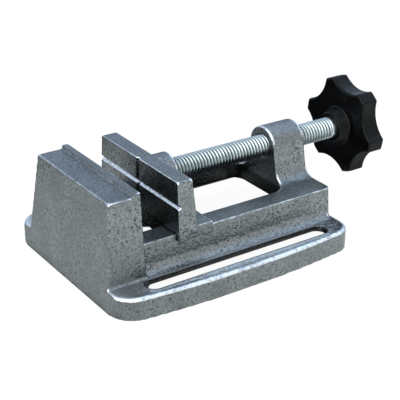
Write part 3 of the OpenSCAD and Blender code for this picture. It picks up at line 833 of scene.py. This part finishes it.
def screw_mesh(bm):
    """The thread as one helical sheet, run out at both ends, and the plain turned ends."""
    turns = (THREAD_END - THREAD_START) / PITCH
    rows = int((turns + 2) * PROFILE_STEPS)
    grid = []
    for i in range(rows + 1):
        row = []
        deep = THREAD_R - thread_radius(i / PROFILE_STEPS)
        for j in range(ROUND_STEPS + 1):
            y = THREAD_START + PITCH * (i / PROFILE_STEPS + j / ROUND_STEPS - 1)
            y = min(THREAD_END, max(THREAD_START, y))
            cut_in = min(1.0, (y - THREAD_START) / (CUT_IN_TURNS * PITCH))
            run_out = min(1.0, (THREAD_END - y) / PITCH)
            r = THREAD_R - deep * run_out - (1 - cut_in) * (THREAD_R - ROOT_R - deep)
            row.append(round_point(bm, r, y, j))
        grid.append(row)
    for row, following in zip(grid, grid[1:]):
        for j in range(ROUND_STEPS):
            bm.faces.new((row[j], row[j + 1], following[j + 1], following[j]))
    near = [(0, JOURNAL_END_Y), (JOURNAL_R - END_CHAMFER, JOURNAL_END_Y),
            (JOURNAL_R, JOURNAL_END_Y + END_CHAMFER), (JOURNAL_R, PIN_Y - PIN_GROOVE),
            (PIN_GROOVE_R, PIN_Y - PIN_GROOVE), (PIN_GROOVE_R, PIN_Y + PIN_GROOVE),
            (JOURNAL_R, PIN_Y + PIN_GROOVE), (JOURNAL_R, THREAD_START), (ROOT_R, THREAD_START)]
    far = [(THREAD_R, THREAD_END), (THREAD_R, SHOULDER_Y), (JOURNAL_R, SHOULDER_Y),
           (JOURNAL_R, STUB_END - END_CHAMFER), (JOURNAL_R - END_CHAMFER, STUB_END), (0, STUB_END)]
    for profile in (near, far):
        loops = [[round_point(bm, r, y, j) for j in range(ROUND_STEPS)] for r, y in profile]
        for one, two in zip(loops, loops[1:]):
            for j in range(ROUND_STEPS):
                k = (j + 1) % ROUND_STEPS
                bm.faces.new((one[j], one[k], two[k], two[j]))
    bmesh.ops.remove_doubles(bm, verts=bm.verts, dist=SEAM_WELD)
    bmesh.ops.dissolve_degenerate(bm, edges=bm.edges, dist=SLIVER)
    bmesh.ops.recalc_face_normals(bm, faces=bm.faces)


bm = bmesh.new()
screw_mesh(bm)
screw_data = bpy.data.meshes.new("threaded_screw")
bm.to_mesh(screw_data)
bm.free()
screw = bpy.data.objects.new("threaded_screw", screw_data)
bpy.context.scene.collection.objects.link(screw)
screw_data.shade_smooth()
screw_data.set_sharp_from_angle(angle=SHARP_ANGLE)


def grain_group():
    """Plating: a faint cloudiness and fine scratches along the handled metal."""
    group, entry, leave = new_group(
        "plating_grain",
        [("Vector", "NodeSocketVector", None), ("Scratch Size mm", "NodeSocketFloat", 0.5)],
        [("Height", "NodeSocketFloat"), ("Clouds", "NodeSocketFloat"), ("Dull", "NodeSocketFloat")])
    place = entry.outputs["Vector"]
    scale = math_node(group, "DIVIDE", PER_METRE, entry.outputs["Scratch Size mm"])
    fine = node(group, "ShaderNodeTexNoise", {"Vector": place, "Scale": scale}, Detail=4.0)
    clouds = node(group, "ShaderNodeTexNoise", {"Vector": place}, Scale=160.0, Detail=3.0)
    group.links.new(fine.outputs["Fac"], leave.inputs["Height"])
    group.links.new(clouds.outputs["Fac"], leave.inputs["Clouds"])
    group.links.new(ramp(group, fine.outputs["Fac"], 0.35, 0.7), leave.inputs["Dull"])
    return group


PLATING = grain_group()


def plated_metal(name, tint, shade, smooth, dull, scratch_depth):
    """Bright or plain metal: cloudy colour, scratches, and roughness between two values."""
    material, tree, shader, place = new_material(name)
    grain = place_group(tree, PLATING, {"Vector": place}, Scratch_Size_mm=SCRATCH_SIZE)
    colour = blend(tree, "MIX", ramp(tree, grain["Clouds"], 0.35, 0.65), shade, tint)
    tree.links.new(colour, shader.inputs["Base Color"])
    tree.links.new(ramp(tree, grain["Dull"], 0.0, 1.0, smooth, dull), shader.inputs["Roughness"])
    shader.inputs["Metallic"].default_value = 1.0
    roughen(tree, shader, grain["Height"], 0.35, scratch_depth)
    return material


def paint_root_shade(piece, material):
    """Painted shade in the thread's roots, stored by how deep each point lies."""
    mesh = piece.data
    co = read_points(mesh) / MM
    radius = np.hypot(co[:, 0], co[:, 2] - SCREW_Z)
    in_thread = (co[:, 1] > THREAD_START + APART) & (co[:, 1] < THREAD_END - APART)
    store_mask(mesh, "root_depth", np.where(in_thread, slope(radius, THREAD_R, ROOT_R), 0))
    tree = material.node_tree
    colour = tree.nodes["Principled BSDF"].inputs["Base Color"]
    plating = colour.links[0].from_socket
    root_shaded = ramp(tree, stored(tree, "root_depth"), 0.32, 0.92, 0.0, 0.92)
    tree.links.new(blend(tree, "MIX", root_shaded, plating, ROOT_SHADE), colour)


SCREW_ZINC = plated_metal("screw_zinc", ZINC, ZINC_SHADE,
                          smooth=0.24, dull=0.34, scratch_depth=0.00003)
paint_root_shade(screw, SCREW_ZINC)
screw.data.materials.append(SCREW_ZINC)
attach(screw, "screw")
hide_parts("lead_screw")


# Star knob
# Six-lobed hand knob moulded in glossy black phenolic over a metal bush. The mould leaves every
# edge round, and the hub in front spreads the load onto the screw's shoulder.
LOBES = 6
KNOB_R = 25.0
KNOB_EDGE_R = 1.1
HUB_Y = BOSS_Y + 99.6
LOBE_Y = HUB_Y + 5.4
KNOB_BACK_Y = LOBE_Y + 10.0
HUB_FACE_R = 8.2
HUB_ROOT_R = 10.0
HUB_EDGE_R = 1.2
FLUTE_R = 17.4
FLUTE_REACH = 37.4
FIRST_FLUTE = 80
BUSH_R = 6.5
BUSH_BACK_Y = 100.3
RECESS_R = 8.7
CAP_SEAT_R = 9.7
CAP_SEAT_T = 1.2
KNOB_STEPS = 144
KNOB_EDGE_STEPS = 8
HUB_EDGE_STEPS = 6
FLUTE_STEPS = 120
PHENOLIC = (0.0012, 0.0012, 0.0015)
DUST_LIFT = 2.2
DUST_DULLS = 0.12


def front_round(r, y, edge_r, steps, way=1):
    """Quarter round at the front of a rim, or with way=-1 of a flute's mouth."""
    turn = arc(0, 0, edge_r, math.pi / 2, 0, steps)
    return [(r + way * out, y + edge_r - rise) for out, rise in turn]


def back_round(r, y, edge_r, steps, way=1):
    """The same at its back."""
    turn = arc(0, 0, edge_r, 0, math.pi / 2, steps)
    return [(r + way * out, y - edge_r + rise) for out, rise in turn]


adds, cuts = [], []
bore = THREAD_R + RUN_GAP
cap_seat_y = KNOB_BACK_Y - CAP_SEAT_T
profile = [(bore, HUB_Y)] + front_round(HUB_FACE_R - HUB_EDGE_R, HUB_Y, HUB_EDGE_R, HUB_EDGE_STEPS)
profile += [(HUB_ROOT_R, LOBE_Y)]
profile += front_round(KNOB_R - KNOB_EDGE_R, LOBE_Y, KNOB_EDGE_R, KNOB_EDGE_STEPS)
profile += back_round(KNOB_R - KNOB_EDGE_R, KNOB_BACK_Y, KNOB_EDGE_R, KNOB_EDGE_STEPS)
profile += [(CAP_SEAT_R, KNOB_BACK_Y), (CAP_SEAT_R, cap_seat_y), (RECESS_R, cap_seat_y),
            (RECESS_R, BUSH_BACK_Y), (BUSH_R, BUSH_BACK_Y), (BUSH_R, SHOULDER_Y),
            (bore, SHOULDER_Y)]
turned(adds, 0, SCREW_Z, profile, KNOB_STEPS)
mouth = FLUTE_R + KNOB_EDGE_R
flute = [(0.0, LOBE_Y - PAST), (mouth, LOBE_Y - PAST), (mouth, LOBE_Y)]
flute += front_round(mouth, LOBE_Y, KNOB_EDGE_R, KNOB_EDGE_STEPS, -1)[1:]
flute += back_round(mouth, KNOB_BACK_Y, KNOB_EDGE_R, KNOB_EDGE_STEPS, -1)
flute += [(mouth, KNOB_BACK_Y + PAST), (0.0, KNOB_BACK_Y + PAST)]
for k in range(LOBES):
    a = math.radians(FIRST_FLUTE + 360 / LOBES * k)
    turned(cuts, FLUTE_REACH * math.cos(a), SCREW_Z + FLUTE_REACH * math.sin(a), flute,
           FLUTE_STEPS)
knob = carve("star_knob_moulding", adds, cuts, voxel=0.34, rounding=2, keep=0.5)


def moulded_black(name, colour, gloss, peel_depth):
    """Black moulding: a glossy skin with faint orange peel and a little dust."""
    material, tree, shader, place = new_material(name)
    peel = node(tree, "ShaderNodeTexNoise", {"Vector": place}, Scale=900.0, Detail=2.0)
    dust = node(tree, "ShaderNodeTexNoise", {"Vector": place}, Scale=140.0, Detail=4.0)
    dust = dust.outputs["Fac"]
    dusty = tuple(c * DUST_LIFT for c in colour)
    tree.links.new(blend(tree, "MIX", ramp(tree, dust, 0.45, 0.75), colour, dusty),
                   shader.inputs["Base Color"])
    tree.links.new(ramp(tree, dust, 0.3, 0.7, gloss, gloss + DUST_DULLS),
                   shader.inputs["Roughness"])
    shader.inputs["IOR"].default_value = 1.26
    roughen(tree, shader, peel.outputs["Fac"], 0.25, peel_depth)
    return material


KNOB_BLACK = moulded_black("knob_phenolic", PHENOLIC, gloss=0.17, peel_depth=0.00005)
knob.data.materials.append(KNOB_BLACK)
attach(knob, "screw")
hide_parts("star_knob")


# Small parts that keep their CAD shape
# The pins, the keeper plate with its screws and washers, and the knob's bush, washer, nut and cap
# are turned, punched or rolled to exact sizes, so only their finishes are made here.
PIN_STEEL = plated_metal("pin_spring_steel", (0.30, 0.30, 0.31), (0.22, 0.22, 0.23),
                         smooth=0.3, dull=0.5, scratch_depth=0.00004)
PLATE_STEEL = plated_metal("keeper_plate_steel", (0.36, 0.36, 0.37), (0.24, 0.24, 0.25),
                           smooth=0.35, dull=0.6, scratch_depth=0.0001)
SMALL_ZINC = plated_metal("fastener_zinc", ZINC, (0.58, 0.61, 0.60),
                          smooth=0.22, dull=0.42, scratch_depth=0.00006)
BUSH_BRASS = plated_metal("bush_brass", (0.78, 0.60, 0.28), (0.62, 0.46, 0.20),
                          smooth=0.25, dull=0.45, scratch_depth=0.00005)
CAP_BLACK = moulded_black("cap_plastic", (0.012, 0.012, 0.013), gloss=0.4, peel_depth=0.00008)
for name, material in (("jaw_pins", PIN_STEEL), ("keeper_plate", PLATE_STEEL),
                       ("keeper_screws", SMALL_ZINC), ("keeper_lock_washers", SMALL_ZINC),
                       ("knob_bush", BUSH_BRASS), ("knob_washer", SMALL_ZINC),
                       ("knob_nut", SMALL_ZINC), ("knob_cap", CAP_BLACK)):
    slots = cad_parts[name].data.materials
    slots.clear()
    slots.append(material)


# Stage
# A white table top that runs out of sight, in a plain white room, lit by two large soft lamps. In
# the metal its mirror image has a painted shadow under the vise and far left, and a painted glow
# behind.

# Places and sizes are in metres from here
FLOOR_HALF = 3.0
TABLE_WHITE = (0.8, 0.8, 0.8, 1.0)
SEEN_SHADE = (0.2, 0.2, 0.2, 1.0)
SEEN_GLOW = 0.94
LIT_SIDE = (0.8, -0.6, 0.0)
LIT_BAND = (-0.08, -0.03)
LIT_LEAST = 0.05
UNDER_VISE_X = (0.030, 0.052)
UNDER_VISE_Y = (0.060, 0.071)
BRIGHT_SIDE = (0.6, 0.8, 0.0)
BRIGHT_BAND = (-0.04, 0.2)
BRIGHT_LEAST = 0.57
BOARD_DARK, BOARD_LIT = (0.1, 0.1, 0.1), (0.4, 0.4, 0.4)
SHEEN_DARK, SHEEN_LIT = (0.0, 0.0, 0.0), (0.94, 1.0, 1.0)
WHITE = (1.0, 1.0, 1.0, 1.0)
ROOM_LIGHT = (0.85, 0.93, 1.0, 1.0)
ROOM_LEVEL = 0.15
FAR_WALL_SIDE = (-0.74, 0.52, 0.43)
FAR_WALL_BAND = (0.0, 0.75)
NEAR_WALL, FAR_WALL = (0.93, 0.98, 1.0), (0.51, 0.63, 0.80)
LAMP_AIM = Vector((0, 0, 0.02))


def toward(tree, place, way):
    """How far a point or a heading lies one way."""
    made = node(tree, "ShaderNodeVectorMath", {0: place}, operation="DOT_PRODUCT")
    made.inputs[1].default_value = way
    return made.outputs["Value"]


def add_shaders(tree, one, two):
    """Both shaders together."""
    return node(tree, "ShaderNodeAddShader", {0: one.outputs[0], 1: two.outputs[0]}).outputs[0]


def show(tree, output, seen, mirrored, other):
    """Gives the camera, the reflections in the metal and all other light a shader each."""
    rays = tree.nodes.new("ShaderNodeLightPath").outputs
    direct = math_node(tree, "MAXIMUM", rays["Is Camera Ray"], rays["Is Transmission Ray"])
    rest = node(tree, "ShaderNodeMixShader", {0: rays["Is Glossy Ray"], 1: other, 2: mirrored})
    pick = node(tree, "ShaderNodeMixShader", {0: direct, 1: rest.outputs[0], 2: seen})
    tree.links.new(pick.outputs[0], tree.nodes.new(output).inputs["Surface"])


def empty_tree(holder):
    """Clears a new material's or world's nodes."""
    holder.use_nodes = True
    holder.node_tree.nodes.clear()
    return holder.node_tree


def table_paint():
    """Plain white where it is seen; the metal sees a painted shadow under the vise and on the far
    left.
    """
    paint = bpy.data.materials.new("white_floor")
    tree = empty_tree(paint)
    plain = node(tree, "ShaderNodeBsdfDiffuse", Color=TABLE_WHITE)
    shade = node(tree, "ShaderNodeBsdfDiffuse", Color=SEEN_SHADE)
    glow = node(tree, "ShaderNodeEmission", Color=WHITE, Strength=SEEN_GLOW)
    spot = tree.nodes.new("ShaderNodeTexCoord").outputs["Object"]
    axes = node(tree, "ShaderNodeSeparateXYZ", {0: spot}).outputs
    beside = ramp(tree, math_node(tree, "ABSOLUTE", axes["X"]), *UNDER_VISE_X)
    beyond = ramp(tree, math_node(tree, "ABSOLUTE", axes["Y"]), *UNDER_VISE_Y)
    # Painted shadow of the vise on the table and a painted glow, as the metal sees them
    lit = ramp(tree, toward(tree, spot, LIT_SIDE), *LIT_BAND, LIT_LEAST)
    lit = math_node(tree, "MULTIPLY", lit, math_node(tree, "MAXIMUM", beside, beyond))
    bright = ramp(tree, toward(tree, spot, BRIGHT_SIDE), *BRIGHT_BAND, BRIGHT_LEAST)
    board = blend(tree, "MIX", lit, BOARD_DARK, BOARD_LIT)
    sheen = blend(tree, "MIX", math_node(tree, "MULTIPLY", lit, bright), SHEEN_DARK, SHEEN_LIT)
    mirrored = add_shaders(tree, node(tree, "ShaderNodeBsdfDiffuse", {"Color": board}),
                           node(tree, "ShaderNodeEmission", {"Color": sheen}, Strength=1.0))
    show(tree, "ShaderNodeOutputMaterial", add_shaders(tree, shade, glow), mirrored,
         plain.outputs[0])
    return paint


def white_room():
    """White all round where it is seen; the metal sees one wall far off, in a pale blue shade."""
    world = bpy.data.worlds.new("white_room")
    tree = empty_tree(world)
    white = node(tree, "ShaderNodeBackground", Color=WHITE, Strength=1.0)
    room = node(tree, "ShaderNodeBackground", Color=ROOM_LIGHT, Strength=ROOM_LEVEL)
    heading = tree.nodes.new("ShaderNodeTexCoord").outputs["Generated"]
    far = ramp(tree, toward(tree, heading, FAR_WALL_SIDE), *FAR_WALL_BAND)
    walls = node(tree, "ShaderNodeBackground",
                 {"Color": blend(tree, "MIX", far, NEAR_WALL, FAR_WALL)}, Strength=1.0)
    show(tree, "ShaderNodeOutputWorld", white.outputs[0], walls.outputs[0], room.outputs[0])
    return world


def soft_lamp(name, place, size, power, colour):
    """A large square lamp that shines on the vise."""
    lamp = bpy.data.lights.new(name, "AREA")
    lamp.shape = "RECTANGLE"
    lamp.size = lamp.size_y = size
    lamp.energy = power
    lamp.color = colour
    made = bpy.data.objects.new(name, lamp)
    bpy.context.scene.collection.objects.link(made)
    made.location = place
    made.rotation_euler = (LAMP_AIM - Vector(place)).to_track_quat("-Z", "Y").to_euler()


bm = bmesh.new()
bm.faces.new([bm.verts.new((x, y, 0))
              for x, y in rectangle(-FLOOR_HALF, FLOOR_HALF, -FLOOR_HALF, FLOOR_HALF)])
floor_mesh = bpy.data.meshes.new("floor")
bm.to_mesh(floor_mesh)
bm.free()
floor = bpy.data.objects.new("floor", floor_mesh)
bpy.context.scene.collection.objects.link(floor)
floor.data.materials.append(table_paint())
bpy.context.scene.world = white_room()
soft_lamp("front_lamp", (0.424, -0.831, 0.603), size=1.7, power=13.0, colour=(0.95, 0.985, 1.0))
soft_lamp("back_lamp", (-0.129, 0.734, 1.085), size=1.5, power=4.5, colour=(0.68, 0.84, 1.0))


# Camera
# Stands where the photograph was taken from: 542 mm from the vise, 25.7 degrees above the table.
CAMERA_PLACE = Vector((0.401222, -0.269966, 0.255422))
CAMERA_AIM = Vector((-0.73945, 0.51506, -0.43349))
CAMERA_ROLL = math.radians(0.651)
CAMERA_LENS = 100.0
CAMERA_SENSOR = 36.0
right = CAMERA_AIM.cross(Vector((0, 0, 1))).normalized()
up = right.cross(CAMERA_AIM).normalized()
right, up = (right * math.cos(CAMERA_ROLL) + up * math.sin(CAMERA_ROLL),
             up * math.cos(CAMERA_ROLL) - right * math.sin(CAMERA_ROLL))
lens = bpy.data.cameras.new("camera")
lens.lens = CAMERA_LENS
lens.sensor_width = CAMERA_SENSOR
camera = bpy.data.objects.new("camera", lens)
bpy.context.scene.collection.objects.link(camera)
facing = Matrix((right, up, -CAMERA_AIM)).transposed().to_4x4()
camera.matrix_world = Matrix.Translation(CAMERA_PLACE) @ facing
bpy.context.scene.camera = camera
bpy.context.scene.view_settings.view_transform = "Standard"
